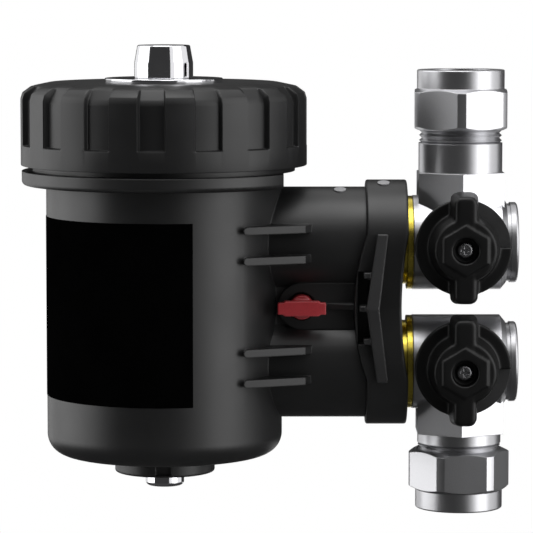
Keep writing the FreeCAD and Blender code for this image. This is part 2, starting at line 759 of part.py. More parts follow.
def make_drain_plug():
    washer_low = "boss_bottom - washer_gap - washer_thick"
    blank = turned("drain_plug_blank", [
        ("0", "0"),
        ("plug_head_radius", "0"),
        ("plug_head_radius", "plug_head_height"),
        ("plug_shank_radius", "plug_head_height"),
        ("plug_shank_radius", "plug_head_height + washer_thick + plug_shank_length - 1"),
        ("0", "plug_head_height + washer_thick + plug_shank_length - 1"),
    ], (CANISTER_X, "0", washer_low + " - plug_head_height"), rounds=[((1,), "plug_round")])
    key = hexagon(
        "drain_key", "plug_key_flats", "plug_key_depth", (CANISTER_X, "0", washer_low + " - plug_head_height"))
    keep(cut("drain_plug", blank, [key]), "drain_plug")
    keep(cut("drain_washer", rod(
        "drain_washer_blank", "plug_head_radius - 0.3", "washer_thick",
        (CANISTER_X, "0", washer_low)), [rod(
            "drain_washer_hole", "plug_shank_radius + thread_fit", "washer_thick",
            (CANISTER_X, "0", washer_low))]), "drain_washer")


def make_bleed_plug():
    back = "-1.6"
    boss_back = "web_half_depth - 3.7"
    barrel = turned("bleed_barrel", [
        ("0", "0"),
        ("bleed_shank_radius", "0"),
        ("bleed_shank_radius", "2.4"),
        ("bleed_shank_radius - 0.8", "2.4"),
        ("bleed_shank_radius - 0.8", "3.6"),
        ("bleed_shank_radius", "3.6"),
        ("bleed_shank_radius", "%s - 1.6" % boss_back),
        ("bleed_boss_radius", "%s - 1.6" % boss_back),
        ("bleed_boss_radius", "bleed_reach - bleed_bar_thick - 1.6"),
        ("0", "bleed_reach - bleed_bar_thick - 1.6"),
    ], ("-bleed_offset", back, PORT_MIDDLE), "-Y")
    bars = [
        block("bleed_bar", "bleed_bar_length", "bleed_bar_height", "bleed_bar_thick", (
            "-(bleed_offset + bleed_bar_length / 2)", "bleed_bar_thick - bleed_reach",
            "%s - bleed_bar_height / 2" % PORT_MIDDLE), "-Y"),
        block("bleed_grip", "bleed_grip_length", "bleed_grip_height", "bleed_bar_thick", (
            "-(bleed_offset + bleed_grip_length / 2)", "bleed_bar_thick - bleed_reach",
            "%s - bleed_grip_height / 2" % PORT_MIDDLE), "-Y"),
    ]
    keep(fuse("bleed_plug", [barrel] + bars), "bleed_plug")
    keep(ring_seal(
        "bleed_seal", "bleed_shank_radius - 0.38", "0.4", ("-bleed_offset", "-4.6", PORT_MIDDLE), "-Y"), "bleed_seal")


# ---------------------------------------------------------------- retaining clip

def make_clip():
    # The spine is two straight arms that lean towards the valves at their ends.
    spine = doc.addObject("PartDesign::Body", "clip_spine")
    sides = ("clip_width + clip_lean - clip_end_width / 2", "clip_width + clip_lean + clip_end_width / 2")
    plan = outline(spine, "XY_Plane", [
        (sides[0], "0"),
        (sides[1], "0"),
        ("1.5 * clip_width", "clip_half_height"),
        (sides[1], "2 * clip_half_height"),
        (sides[0], "2 * clip_half_height"),
        ("clip_width / 2", "clip_half_height"),
    ], "clip_plan")
    pad = spine.newObject("PartDesign::Pad", "clip_pad")
    pad.Profile = plan
    pad.setExpression("Length", linked("clip_front - clip_back"))
    place(spine, ("-(clip_middle + clip_width)", "-clip_back", "%s - clip_half_height" % PORT_MIDDLE), "-Y")
    # Its front is highest in the middle and falls back towards both ends.
    crown = []
    for side, turn in (("high", "-Y"), ("low", "+Y")):
        reach = {"Zmin": "clip_back", "Zmax": "clip_front", "Z2min": "clip_back", "Z2max": "clip_end_front"}
        if side == "low":
            reach = {"Zmin": "-clip_front", "Zmax": "-clip_back", "Z2min": "-clip_end_front", "Z2max": "-clip_back"}
        crown.append(primitive(
            "Wedge", "clip_crown_" + side, ("-(clip_middle + 2 * clip_width)", "0", PORT_MIDDLE), turn,
            Xmin="0", X2min="0", Xmax="4 * clip_width", X2max="4 * clip_width", Ymin="0", Ymax="clip_half_height",
            **reach))
    pieces = [
        common("clip_arms", spine, fuse("clip_crown", crown)),
        block("clip_tongue_plate", "clip_tongue", "clip_back + clip_tongue_end + 1",
              "port_pitch - 2 * (spigot_radius - clip_grip)",
              ("-(clip_middle + clip_tongue / 2)", "-(clip_back + 1)", "port_low + spigot_radius - clip_grip")),
    ]
    # Each tooth points into the flange's window, and ends just short of the window's right side.
    for number in (-1, 0, 1):
        tip = "(clip_middle + tooth_reach - %d * tooth_step)" % abs(number)
        pieces.append(block(
            "clip_tooth_%d" % (number + 1), "%s - window_right - tooth_gap" % tip, "tooth_depth", "tooth_height",
            ("-" + tip, "-tooth_front",
             "%s + %d * tooth_pitch - tooth_height / 2" % (PORT_MIDDLE, number))))
    keep(fuse("retaining_clip", pieces), "retaining_clip")


# ---------------------------------------------------------------- valves

class Valve:
    """Where one angle valve is, and which way its threaded leg points."""

    def __init__(self, name, port, sign, reach, thread_gap, disc_turn, nut_turn):
        self.name = name
        self.port = port
        self.sign = sign
        self.outward = sign + "Z"
        self.inward = "-Z" if sign == "+" else "+Z"
        self.reach = reach
        self.thread_gap = thread_gap
        self.disc_turn = disc_turn
        self.nut_turn = nut_turn

    def along_leg(self, distance):
        """Height of the point at this distance from the port's axis, measured along the leg."""
        return "%s %s (%s)" % (self.port, self.sign, distance)

    def part(self, name):
        return self.name + "_" + name


VALVES = [
    Valve("upper", PORT_HIGH, "+", "upper_reach", "upper_thread_gap", 90, 32),
    Valve("lower", "port_low", "-", "port_low", "lower_thread_gap", 0, 5.5),
]


def make_spigot(valve):
    def seal_place(number):
        return "spigot_left - seal_inset - %d * seal_pitch" % number

    def along(distance):
        """Distance from the spigot's far end of a point this far left of the pipe axis."""
        return "spigot_left - (%s)" % distance

    groove = "spigot_radius - 2 * seal_section + 0.25"
    profile = [("spigot_bore", "0"), ("spigot_radius", "0")]
    for number in (0, 1):
        profile += [
            ("spigot_radius", along("%s + seal_section + 0.1" % seal_place(number))),
            (groove, along("%s + seal_section + 0.1" % seal_place(number))),
            (groove, along("%s - seal_section - 0.1" % seal_place(number))),
            ("spigot_radius", along("%s - seal_section - 0.1" % seal_place(number))),
        ]
    clip_groove = "spigot_radius - clip_grip - clip_gap"
    profile += [
        ("spigot_radius", along("clip_middle + clip_tongue / 2 + clip_gap")),
        (clip_groove, along("clip_middle + clip_tongue / 2 + clip_gap")),
        (clip_groove, along("clip_middle - clip_tongue / 2 - clip_gap")),
        ("spigot_radius", along("clip_middle - clip_tongue / 2 - clip_gap")),
        ("spigot_radius", along("flange_right")),
        ("spigot_ring_radius", along("flange_right")),
        ("spigot_ring_radius", along("barrel_left")),
        ("cavity_radius - thread_fit", along("barrel_left")),
        ("cavity_radius - thread_fit", along("barrel_left - spigot_shank")),
        ("spigot_bore", along("barrel_left - spigot_shank")),
    ]
    keep(turned(valve.part("spigot"), profile, ("-spigot_left", "0", valve.port), "+X"), valve.part("spigot"))
    seals = [
        ring_seal(valve.part("seal_%d" % number), "spigot_radius - seal_section + 0.27", "seal_section",
                  ("-(%s)" % seal_place(number), "0", valve.port), "+X")
        for number in (0, 1)
    ]
    keep(group(valve.part("spigot_seals"), seals), valve.part("spigot_seals"))


def make_valve_body(valve):
    name = valve.part
    barrel = turned(name("barrel"), [
        ("0", "0"),
        ("barrel_radius", "0"),
        ("barrel_radius", "barrel_left + barrel_right - barrel_cone"),
        ("barrel_radius - barrel_cone_drop", "barrel_left + barrel_right"),
        ("0", "barrel_left + barrel_right"),
    ], ("-barrel_left", "0", valve.port), "+X", rounds=[((1,), "0.4")])
    neck = hexagon(name("neck_hex"), "neck_flats", "neck_hex_length", ("0", "0", valve.port), valve.outward, 30)
    thread_start = "(%s - nut_length - %s)" % (valve.reach, valve.thread_gap)
    leg_end = "%s - leg_inset" % valve.reach
    profile = [("0", "0"), ("neck_round_radius", "0"), ("neck_round_radius", thread_start)]
    for turn in range(int(SIZES["thread_turns"])):
        profile.append(("thread_root", "%s + %d * thread_pitch" % (thread_start, turn)))
        profile.append(("thread_crest", "%s + %s * thread_pitch" % (thread_start, turn + 0.5)))
    profile += [
        ("thread_root", "%s + thread_turns * thread_pitch" % thread_start),
        ("thread_root", leg_end),
        ("0", leg_end),
    ]
    leg = turned(name("leg"), profile, ("0", "0", valve.port), valve.outward)
    boss = rod(name("stem_boss"), "stem_boss_radius", "stem_boss_front", ("0", "0", valve.port), "-Y")
    holes = [
        rod(name("cavity"), "cavity_radius", "barrel_left + barrel_right + 2",
            ("-(barrel_left + 1)", "0", valve.port), "+X"),
        rod(name("leg_waterway"), "spigot_bore", leg_end, ("0", "0", valve.port), valve.outward),
        rod(name("pipe_socket"), "pipe_radius", "pipe_depth + 1",
            ("0", "0", valve.along_leg("%s - pipe_depth" % leg_end)), valve.outward),
        primitive("Cone", name("olive_seat"), ("0", "0", valve.along_leg("%s - seat_depth" % leg_end)), valve.outward,
                  Radius1="pipe_radius", Radius2="olive_radius - 0.1", Height="seat_depth"),
        rod(name("stem_hole"), "stem_radius + stem_fit", "stem_boss_front + 1", ("0", "0", valve.port), "-Y"),
        rod(name("packing_space"), "packing_radius", "packing_length + 1.6 + 1",
            ("0", "-(stem_boss_front - packing_length - 1.6)", valve.port), "-Y"),
    ]
    keep(cut(name("valve_body"), fuse(name("valve_solid"), [barrel, neck, leg, boss]), holes), name("valve_body"))


def make_valve_inside(valve):
    name = valve.part
    centre = ("0", "0", valve.port)
    sphere = primitive("Sphere", name("ball_blank"), centre, Radius="ball_radius")
    ports = [
        rod(name("ball_inlet"), "ball_bore", "ball_radius + 1", ("-(ball_radius + 1)", "0", valve.port), "+X"),
        primitive("Sphere", name("ball_elbow"), centre, Radius="ball_bore"),
        rod(name("ball_outlet"), "ball_bore", "ball_radius + 1", centre, valve.outward),
        block(name("ball_slot"), "8.6", "2.8", "4",
              ("-4.3", "-(ball_radius - 3.1)", valve.port + " - 1.4"), "-Y"),
    ]
    keep(cut(name("ball"), sphere, ports), name("ball"))

    seats = []
    seat_place = "barrel_left - spigot_shank - seat_gap"
    for side, start in (("left", "-(%s)" % seat_place), ("right", "%s - seat_thick" % seat_place)):
        ring = rod(name("seat_ring_" + side), "cavity_radius - seat_gap", "seat_thick",
                   (start, "0", valve.port), "+X")
        hole = rod(name("seat_hole_" + side), "ball_bore", "seat_thick", (start, "0", valve.port), "+X")
        ball_space = primitive("Sphere", name("seat_space_" + side), centre, Radius="ball_radius + seat_gap")
        seats.append(cut(name("seat_" + side), ring, [hole, ball_space]))
    keep(group(name("ball_seats"), seats), name("ball_seats"))

    plug_start = "barrel_left - spigot_shank"
    keep(turned(name("end_plug"), [
        ("0", "1"),
        ("ball_bore - 1", "1"),
        ("ball_bore - 1", "0"),
        ("cavity_radius - thread_fit", "0"),
        ("cavity_radius - thread_fit", "barrel_right - (%s)" % plug_start),
        ("end_plug_radius - neck_drop", "barrel_right - (%s)" % plug_start),
        ("end_plug_radius - neck_drop", "barrel_right - (%s) + end_plug_neck" % plug_start),
        ("end_plug_radius", "barrel_right - (%s) + end_plug_neck" % plug_start),
        ("end_plug_radius", "barrel_right - (%s) + end_plug_head" % plug_start),
        ("0", "barrel_right - (%s) + end_plug_head" % plug_start),
    ], (plug_start, "0", valve.port), "+X", rounds=[((8,), "end_plug_round")]), name("end_plug"))

    # Stem: a tang in the ball's slot, a round body through the packing, a square for the handle.
    round_part = rod(name("stem_round"), "stem_radius", "stem_boss_front + plate_thick - ball_radius - 0.2",
                     ("0", "-(ball_radius + 0.2)", valve.port), "-Y")
    square_part = block(name("stem_flats"), "stem_square", "stem_square", "stem_end - stem_boss_front - 0.5",
                        ("-stem_square / 2", "-(stem_boss_front + 0.5)", valve.port + " - stem_square / 2"), "-Y")
    tang = block(name("stem_tang"), "7.6", "2.6", "3.6",
                 ("-3.8", "-(ball_radius - 3)", valve.port + " - 1.3"), "-Y")
    tang_round = rod(name("stem_tang_round"), "stem_radius", "4", ("0", "-(ball_radius - 3.2)", valve.port), "-Y")
    screw_hole = rod(name("stem_screw_hole"), "screw_radius", "screw_length",
                     ("0", "-(recess_floor - screw_length)", valve.port), "-Y")
    stem_solid = fuse(name("stem_solid"), [round_part, square_part, common(name("tang"), tang, tang_round)])
    keep(cut(name("stem"), stem_solid, [screw_hole]), name("stem"))

    packing_start = "(stem_boss_front - packing_length - 1.6)"
    for label, start, length in (
            ("stem_packing", packing_start, "packing_length"),
            ("gland_ring", "(stem_boss_front - 1.6)", "1.6")):
        at = ("0", "-" + start, valve.port)
        keep(cut(name(label), rod(name(label + "_blank"), "packing_radius - thread_fit", length, at, "-Y"), [
            rod(name(label + "_hole"), "stem_radius + stem_fit", length, at, "-Y")]), name(label))


def make_handle(valve):
    name = valve.part

    def front(distance):
        return ("0", "-(%s)" % distance, valve.port)

    plate = rod(name("plate_blank"), "plate_radius", "plate_thick", front("stem_boss_front"), "-Y")
    plate_hole = rod(name("plate_hole"), "stem_radius + 0.4", "plate_thick", front("stem_boss_front"), "-Y")
    keep(cut(name("stop_plate"), plate, [plate_hole]), name("stop_plate"))

    disc = rod(name("handle_disc"), "disc_radius", "disc_thick", front("disc_back"), "-Y", valve.disc_turn,
               Angle="270")
    hub = turned(name("handle_hub"), [
        ("0", "0"),
        ("hub_radius", "0"),
        ("hub_radius", "disc_thick"),
        ("hub_top_radius", "hub_front - disc_back"),
        ("0", "hub_front - disc_back"),
    ], front("disc_back"), "-Y", rounds=[((3,), "hub_round")])
    lever = doc.addObject("PartDesign::Body", name("lever"))
    plan = outline(lever, "XY_Plane", [
        ("sketch_offset", "sketch_offset"),
        ("sketch_offset + lever_width", "sketch_offset"),
        ("sketch_offset + lever_width", "sketch_offset + lever_length"),
        ("sketch_offset", "sketch_offset + lever_length"),
    ], name("lever_plan"))
    pad = lever.newObject("PartDesign::Pad", name("lever_pad"))
    pad.Profile = plan
    pad.setExpression("Length", linked("lever_front - lever_back"))
    pad.TaperAngle = -SIZES["lever_draft"]
    doc.recompute()
    upright = [
        "Edge%d" % number for number, edge in enumerate(pad.Shape.Edges, start=1)
        if abs(edge.Vertexes[0].Z - edge.Vertexes[-1].Z) > 1
    ]
    corners = lever.newObject("PartDesign::Fillet", name("lever_corners"))
    corners.Base = (pad, upright)
    corners.setExpression("Radius", linked("lever_corner"))
    doc.recompute()
    front_edges = [
        "Edge%d" % number for number, edge in enumerate(corners.Shape.Edges, start=1)
        if min(vertex.Z for vertex in edge.Vertexes) > SIZES["lever_front"] - SIZES["lever_back"] - 0.01
    ]
    edge_round = lever.newObject("PartDesign::Fillet", name("lever_edges"))
    edge_round.Base = (corners, front_edges)
    edge_round.setExpression("Radius", linked("lever_edge"))
    place(lever, ("-(sketch_offset + lever_width / 2)", "-lever_back",
                  valve.port + " - sketch_offset - lever_length / 2"), "-Y")

    hex_boss = hexagon(name("handle_hex"), "hex_flats", "hex_front - disc_back", front("disc_back"), "-Y", 30)
    holes = [
        rod(name("screw_recess"), "recess_radius", "6", front("recess_floor"), "-Y"),
        rod(name("screw_way"), "screw_radius + 0.2", "screw_length", front("recess_floor - screw_length"), "-Y"),
        block(name("stem_way"), "stem_square + 0.1", "stem_square + 0.1", "stem_end + 0.1 - disc_back + 1",
              ("-(stem_square + 0.1) / 2", "-(disc_back - 1)", valve.port + " - (stem_square + 0.1) / 2"), "-Y"),
    ]
    handle_solid = fuse(name("handle_solid"), [disc, hub, lever, hex_boss])
    keep(cut(name("handle"), handle_solid, holes), name("handle"))

    screw = turned(name("screw_blank"), [
        ("0", "0"),
        ("screw_radius", "0"),
        ("screw_radius", "screw_length"),
        ("screw_head_radius", "screw_length"),
        ("screw_head_radius", "screw_length + screw_head_height"),
        ("0", "screw_length + screw_head_height"),
    ], front("recess_floor - screw_length"), "-Y", rounds=[((4,), "1.0")])
    slots = [
        block(name("screw_slot_" + label), length, width, "2",
              ("-(%s) / 2" % length, "-(recess_floor + screw_head_height - 1)", "%s - (%s) / 2" % (valve.port, width)),
              "-Y")
        for label, length, width in (("across", "3", "0.7"), ("upright", "0.7", "3"))
    ]
    keep(cut(name("handle_screw"), screw, slots), name("handle_screw"))


def make_compression_nut(valve):
    name = valve.part
    mouth = ("0", "0", valve.along_leg(valve.reach))
    hex_start = ("0", "0", valve.along_leg("%s - nut_collar_length" % valve.reach))
    bar = hexagon(name("nut_bar"), "nut_flats", "nut_length - nut_collar_length", hex_start, valve.inward,
                  valve.nut_turn)
    corners = turned(name("nut_corners"), [
        ("0", "0"),
        ("nut_corner_radius - 2 * nut_chamfer", "0"),
        ("nut_corner_radius", "nut_chamfer"),
        ("nut_corner_radius", "nut_length - nut_collar_length - nut_chamfer"),
        ("nut_corner_radius - 2 * nut_chamfer", "nut_length - nut_collar_length"),
        ("0", "nut_length - nut_collar_length"),
    ], hex_start, valve.inward)
    collar = turned(name("nut_collar"), [
        ("0", "0"),
        ("nut_collar_radius", "0"),
        ("nut_collar_radius", "nut_collar_length + 1"),
        ("0", "nut_collar_length + 1"),
    ], mouth, valve.inward, rounds=[((1,), "0.5")])
    olive_start = "leg_inset + olive_in_leg - olive_length - olive_lip"
    bore = turned(name("nut_inside"), [
        ("0", "0"),
        ("pipe_radius", "0"),
        ("pipe_radius", olive_start),
        ("nut_bore", olive_start + " + 2"),
        ("nut_bore", "nut_length + 1"),
        ("0", "nut_length + 1"),
    ], mouth, valve.inward)
    solid = fuse(name("nut_solid"), [common(name("nut_hex"), bar, corners), collar])
    keep(cut(name("compression_nut"), solid, [bore]), name("compression_nut"))
    keep(turned(name("olive"), [
        ("pipe_radius", "0"),
        ("pipe_radius + olive_lip", "0"),
        ("olive_radius", "olive_length / 2"),
        ("pipe_radius + olive_lip", "olive_length"),
        ("pipe_radius", "olive_length"),
    ], ("0", "0", valve.along_leg("%s - leg_inset - olive_in_leg" % valve.reach)), valve.outward), name("olive"))


# ---------------------------------------------------------------- build, check, write

make_canister()
make_label()
make_port_flange()
make_marker_pips()
make_clip()
make_lid()
make_air_vent()
make_magnet_unit()
make_drain_plug()
make_bleed_plug()
for valve in VALVES:
    make_spigot(valve)
    make_valve_body(valve)
    make_valve_inside(valve)
    make_handle(valve)
    make_compression_nut(valve)
doc.recompute()

for item in doc.Objects:
    if "Invalid" in item.State or "Error" in item.State:
        raise RuntimeError("%s did not build: %s" % (item.Label, item.State))
os.makedirs("parts", exist_ok=True)
for node in nodes:
    shape = node.Shape
    if shape.isNull() or not shape.isValid() or not shape.Solids:
        raise RuntimeError("%s has no sound solid" % node.Label)
    shape.exportStep("parts/%s.step" % node.Label)
    print("%-22s %2d solid %9.1f mm3" % (node.Label, len(shape.Solids), shape.Volume))
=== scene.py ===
import math
import bpy
import bmesh
from mathutils import Euler, Matrix, Vector


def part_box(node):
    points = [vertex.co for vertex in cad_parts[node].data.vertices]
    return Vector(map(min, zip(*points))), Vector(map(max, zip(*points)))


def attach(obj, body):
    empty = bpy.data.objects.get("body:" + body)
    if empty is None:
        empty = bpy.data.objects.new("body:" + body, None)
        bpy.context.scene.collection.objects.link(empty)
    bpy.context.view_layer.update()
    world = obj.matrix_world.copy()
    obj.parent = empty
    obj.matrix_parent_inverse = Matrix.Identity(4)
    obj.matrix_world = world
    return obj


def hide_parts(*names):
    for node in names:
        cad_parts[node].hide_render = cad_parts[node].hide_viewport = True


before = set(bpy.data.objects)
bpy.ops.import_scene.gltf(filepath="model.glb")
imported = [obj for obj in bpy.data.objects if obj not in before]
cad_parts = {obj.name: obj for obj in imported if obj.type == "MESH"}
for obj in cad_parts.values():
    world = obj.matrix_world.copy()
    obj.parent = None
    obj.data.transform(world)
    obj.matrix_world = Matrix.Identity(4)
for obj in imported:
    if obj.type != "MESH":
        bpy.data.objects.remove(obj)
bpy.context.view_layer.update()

scene = bpy.context.scene

# ---------------------------------------------------------------- studio
# A white studio with a round pale table. Four matt black cards stand in front, below and behind, and
# give the plated parts their dark bands. Three soft lights stand at the left, at the right and above.

FILTER_MIDDLE = Vector((-0.07, 0.0, 0.085))
CAMERA_PLACE = (-0.06987, -1.13547, 0.19466)
CAMERA_TILT = math.radians(84.616)
LENS_LENGTH = 213.04
SENSOR_WIDTH = 36.0
TABLE_RADIUS = 0.5
TABLE_CENTRE = Vector((-0.07, 0.05, -0.15))
TABLE_TONE = 0.95
CARD_TONE = 0.045
LIGHT_DISTANCE = 1.2
WHITE = (1.0, 1.0, 1.0, 1.0)

scene.view_settings.view_transform = "Standard"
scene.view_settings.look = "None"

camera_data = bpy.data.cameras.new("camera")
camera_data.sensor_width = SENSOR_WIDTH
camera_data.lens = LENS_LENGTH
camera = bpy.data.objects.new("camera", camera_data)
camera.location = CAMERA_PLACE
camera.rotation_euler = Euler((CAMERA_TILT, 0.0, 0.0))
scene.collection.objects.link(camera)
scene.camera = camera

surroundings = bpy.data.worlds.new("white_studio")
surroundings.use_nodes = True
backdrop = surroundings.node_tree.nodes["Background"]
backdrop.inputs["Color"].default_value = WHITE
backdrop.inputs["Strength"].default_value = 1.0
scene.world = surroundings


def direction_to(azimuth, elevation):
    """Unit vector from the filter; azimuth 0 is the camera's side, and it grows to the camera's right."""
    side, up = math.radians(azimuth), math.radians(elevation)
    return Vector((math.sin(side) * math.cos(up), -math.cos(side) * math.cos(up), math.sin(up)))


def matt(name, tone):
    """A plain matt material for the studio itself."""
    material = bpy.data.materials.new(name)
    material.use_nodes = True
    shader = material.node_tree.nodes["Principled BSDF"]
    shader.inputs["Base Color"].default_value = (tone, tone, tone, 1.0)
    shader.inputs["Roughness"].default_value = 1.0
    shader.inputs["Specular IOR Level"].default_value = 0.0
    return material


table_mesh = bpy.data.meshes.new("table")
table_build = bmesh.new()
bmesh.ops.create_circle(
    table_build, cap_ends=True, segments=96, radius=TABLE_RADIUS,
    matrix=Matrix.Translation(TABLE_CENTRE))
table_build.to_mesh(table_mesh)
table_build.free()
table_mesh.materials.append(matt("table_white", TABLE_TONE))
table = bpy.data.objects.new("table", table_mesh)
scene.collection.objects.link(table)

# Each card faces the filter: its bearing and height in degrees, then distance, width and height in metres.
card_black = matt("card_black", CARD_TONE)
for name, azimuth, elevation, distance, width, height in (
        ("card_front", -18.3, 2.0, 2.4, 4.92, 3.9),
        ("card_below", -18.3, -89.0, 0.2, 0.9, 0.7),
        ("card_right", 145.0, 8.0, 2.0, 2.04, 2.6),
        ("card_behind", 180.0, 12.0, 2.2, 2.1, 2.4)):
    mesh = bpy.data.meshes.new(name)
    w, h = width / 2, height / 2
    mesh.from_pydata([(-w, -h, 0), (w, -h, 0), (w, h, 0), (-w, h, 0)], [], [(0, 1, 2, 3)])
    toward = direction_to(azimuth, elevation)
    mesh.transform(Matrix.Translation(FILTER_MIDDLE + toward * distance)
                   @ toward.to_track_quat("Z", "Y").to_matrix().to_4x4())
    mesh.materials.append(card_black)
    card = bpy.data.objects.new(name, mesh)
    card.visible_camera = False
    # The card below is seen in reflections only, so the table under it stays evenly pale.
    card.visible_shadow = card.visible_diffuse = name != "card_below"
    scene.collection.objects.link(card)

# Each light faces the filter too: its bearing and height, then width, height and power in watts.
for name, azimuth, elevation, width, height, watts in (
        ("light_left", -92.0, 12.0, 1.3, 1.4, 7.5),
        ("light_right", 62.0, 12.0, 0.8, 1.4, 6.3),
        ("light_top", -20.0, 78.0, 1.0, 0.8, 7.0)):
    data = bpy.data.lights.new(name, "AREA")
    data.shape = "RECTANGLE"
    data.size, data.size_y = width, height
    data.energy = watts
    light = bpy.data.objects.new(name, data)
    toward = direction_to(azimuth, elevation)
    light.location = FILTER_MIDDLE + toward * LIGHT_DISTANCE
    light.rotation_euler = toward.to_track_quat("Z", "Y").to_euler()
    light.visible_camera = False
    scene.collection.objects.link(light)

# ---------------------------------------------------------------- canister and oval flange
# The vessel with its two port tubes, ribs and web, and the oval flange at the tubes' ends, are
# injection-moulded in black glass-filled nylon: satin, with a very fine grain and softened edges.

FINE_DETAIL, BROAD_DETAIL = 3.0, 4.0
BROAD_SCALE = 60.0
TONE_RANGE = (0.35, 0.65)
ROUGH_RANGE = (0.3, 0.7)
RELIEF_DEPTH = 0.00005
EDGE_SAMPLES = 4
BLUE_TINT = 1.03


def finish(name, tones, rough, grain=0.0004, bump=0.1, edge=0.0004, metal=0.0, stretch=(1, 1, 1),
           **fixed):
    """A finish with two tones, varied roughness, fine relief and softened edges, from noise in
    Object coordinates. grain is the relief's size and edge the softened radius, both in metres;
    stretch draws the grain out for brushing; fixed sets the shader's own sockets."""
    material = bpy.data.materials.new(name)
    material.use_nodes = True
    nodes, links = material.node_tree.nodes, material.node_tree.links
    shader = nodes["Principled BSDF"]
    shader.inputs["Metallic"].default_value = metal
    for socket, value in fixed.items():
        shader.inputs[socket.replace("_", " ")].default_value = value
    place = nodes.new("ShaderNodeTexCoord")
    mapping = nodes.new("ShaderNodeMapping")
    mapping.inputs["Scale"].default_value = stretch
    links.new(place.outputs["Object"], mapping.inputs["Vector"])
    fine = nodes.new("ShaderNodeTexNoise")
    fine.inputs["Scale"].default_value = 1.0 / grain
    fine.inputs["Detail"].default_value = FINE_DETAIL
    links.new(mapping.outputs["Vector"], fine.inputs["Vector"])
    broad = nodes.new("ShaderNodeTexNoise")
    broad.inputs["Scale"].default_value = BROAD_SCALE
    broad.inputs["Detail"].default_value = BROAD_DETAIL
    links.new(mapping.outputs["Vector"], broad.inputs["Vector"])
    mixed = nodes.new("ShaderNodeMix")
    mixed.data_type = "FLOAT"
    links.new(fine.outputs["Fac"], mixed.inputs[2])
    links.new(broad.outputs["Fac"], mixed.inputs[3])
    tone = nodes.new("ShaderNodeValToRGB")
    for element, position, colour in zip(tone.color_ramp.elements, TONE_RANGE, tones):
        element.position = position
        element.color = (*colour, 1.0)
    links.new(mixed.outputs[0], tone.inputs["Fac"])
    links.new(tone.outputs["Color"], shader.inputs["Base Color"])
    spread = nodes.new("ShaderNodeMapRange")
    for socket, value in zip(("From Min", "From Max", "To Min", "To Max"), ROUGH_RANGE + rough):
        spread.inputs[socket].default_value = value
    links.new(mixed.outputs[0], spread.inputs["Value"])
    links.new(spread.outputs["Result"], shader.inputs["Roughness"])
    soft = nodes.new("ShaderNodeBevel")
    soft.samples = EDGE_SAMPLES
    soft.inputs["Radius"].default_value = edge
    relief = nodes.new("ShaderNodeBump")
    relief.inputs["Strength"].default_value = bump
    relief.inputs["Distance"].default_value = RELIEF_DEPTH
    links.new(fine.outputs["Fac"], relief.inputs["Height"])
    links.new(soft.outputs["Normal"], relief.inputs["Normal"])
    links.new(relief.outputs["Normal"], shader.inputs["Normal"])
    return material


def grey(level):
    """A very slightly cool grey."""
    return (level, level, level * BLUE_TINT)


def wear(material, *names):
    """Give the named CAD parts this finish."""
    for name in names:
        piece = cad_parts[name]
        if not piece.material_slots:
            piece.data.materials.append(material)
        for slot in piece.material_slots:
            slot.material = material


canister_nylon = finish("canister_nylon", (grey(0.0068), grey(0.0092)), (0.34, 0.46), edge=0.0006)
wear(canister_nylon, "canister_body", "port_flange")

# ---------------------------------------------------------------- label
# A glossy black film, 0.15 mm thick, stuck round the side of the canister away from the ports.
# Its print is left off.

label_film = finish("label_film", (grey(0.0006), grey(0.0012)), (0.08, 0.13),
                    bump=0.01, edge=0.0001, Specular_IOR_Level=0.0)
wear(label_film, "label")

# ---------------------------------------------------------------- marker pips
# Two light grey plastic pips pressed into the top of the tube and the flange show which way up the
# filter goes.

pip_grey = finish("pip_grey", (grey(0.26), grey(0.34)), (0.35, 0.5))
wear(pip_grey, "marker_pips")

# ---------------------------------------------------------------- spigots
# Turned yellow brass spigots carry each valve in its port. Two rubber rings seal each one, and a
# groove takes the retaining clip.

spigot_brass = finish("spigot_brass", ((0.60, 0.47, 0.06), (0.72, 0.58, 0.10)), (0.16, 0.30),
                      grain=0.0003, bump=0.05, metal=1.0, stretch=(6, 1, 1))
seal_rubber = finish("seal_rubber", (grey(0.010), grey(0.016)), (0.6, 0.8))
for side in ("upper", "lower"):
    wear(spigot_brass, side + "_spigot")
    wear(seal_rubber, side + "_spigot_seals")

# ---------------------------------------------------------------- valve bodies
# Angle ball valves: a forged brass barrel with a hexagonal neck and a threaded leg, nickel plated
# and satin brushed. A turned end plug screws into the barrel's right end.

UPRIGHT_BRUSH = (1, 1, 0.2)
valve_nickel = finish("valve_nickel", (grey(0.50), grey(0.56)), (0.29, 0.34),
                      grain=0.00015, bump=0.03, edge=0.0003, metal=1.0, stretch=UPRIGHT_BRUSH)
plug_nickel = finish("plug_nickel", (grey(0.40), grey(0.46)), (0.30, 0.36),
                     grain=0.00015, bump=0.03, edge=0.0003, metal=1.0)
for side in ("upper", "lower"):
    wear(valve_nickel, side + "_valve_body")
    wear(plug_nickel, side + "_end_plug")

# ---------------------------------------------------------------- inside the valves
# A chromed brass ball turns between two white PTFE seats. A brass stem turns it, through a PTFE
# packing that a brass gland ring holds down.

ball_chrome = finish("ball_chrome", (grey(0.78), grey(0.84)), (0.04, 0.08), bump=0.01, metal=1.0)
white_ptfe = finish("white_ptfe", ((0.72, 0.72, 0.70), (0.80, 0.80, 0.78)), (0.4, 0.55))
for side in ("upper", "lower"):
    wear(ball_chrome, side + "_ball")
    wear(white_ptfe, side + "_ball_seats", side + "_stem_packing")
    wear(spigot_brass, side + "_stem", side + "_gland_ring")

# ---------------------------------------------------------------- stop plates and handles
# Behind each handle a grained nylon plate carries the stops. The handle is a moulded nylon disc with
# a quarter open, a hub and a two-armed lever with soft edges, held on the stem by a cross-head screw.

SAME_POINT = 1e-6
RELAX_STRENGTH = 0.5


